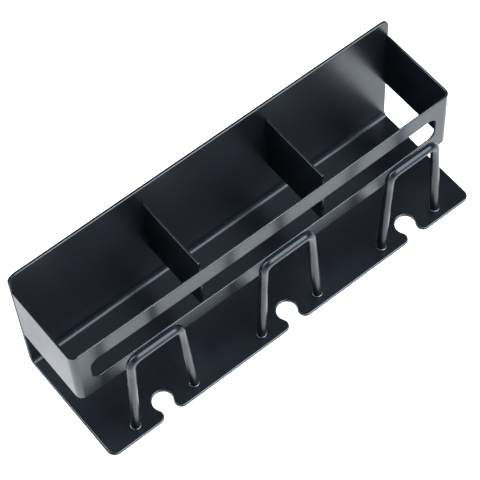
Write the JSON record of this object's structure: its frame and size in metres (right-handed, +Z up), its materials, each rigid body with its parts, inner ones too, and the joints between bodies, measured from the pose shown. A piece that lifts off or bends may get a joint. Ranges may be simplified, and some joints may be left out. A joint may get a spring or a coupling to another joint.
{
  "type": "wall-mounted washstand rack",
  "caption": "Long black metal wall rack: bent back plate and shelf, raised guard band with a window, upright dividers, wire loops and keyhole notches along the front edge.",
  "frame": {"origin": "middle of the centre adhesive pad's outer face, which lies on the wall plane", "axes": "+X along the rack to the right seen from the front, +Y into the wall, +Z up"},
  "size_m": [0.3, 0.0912, 0.108],
  "materials": {
    "black_coat": "satin black powder coat on sheet metal",
    "black_wire": "satin black powder coat on round wire",
    "pad_foam": "matt grey acrylic foam tape"
  },
  "bodies": {
    "root": {"back_shelf_panel": "black_coat", "guard_band": "black_coat", "divider_left": "black_coat", "divider_right": "black_coat", "wire_loop_left": "black_wire", "wire_loop_centre": "black_wire", "wire_loop_right": "black_wire", "foot_ring_left_outer": "black_wire", "foot_ring_left_inner": "black_wire", "foot_ring_centre_left": "black_wire", "foot_ring_centre_right": "black_wire", "foot_ring_right_inner": "black_wire", "foot_ring_right_outer": "black_wire", "adhesive_pad_left": "pad_foam", "adhesive_pad_centre": "pad_foam", "adhesive_pad_right": "pad_foam"}
  },
  "joints": []
}
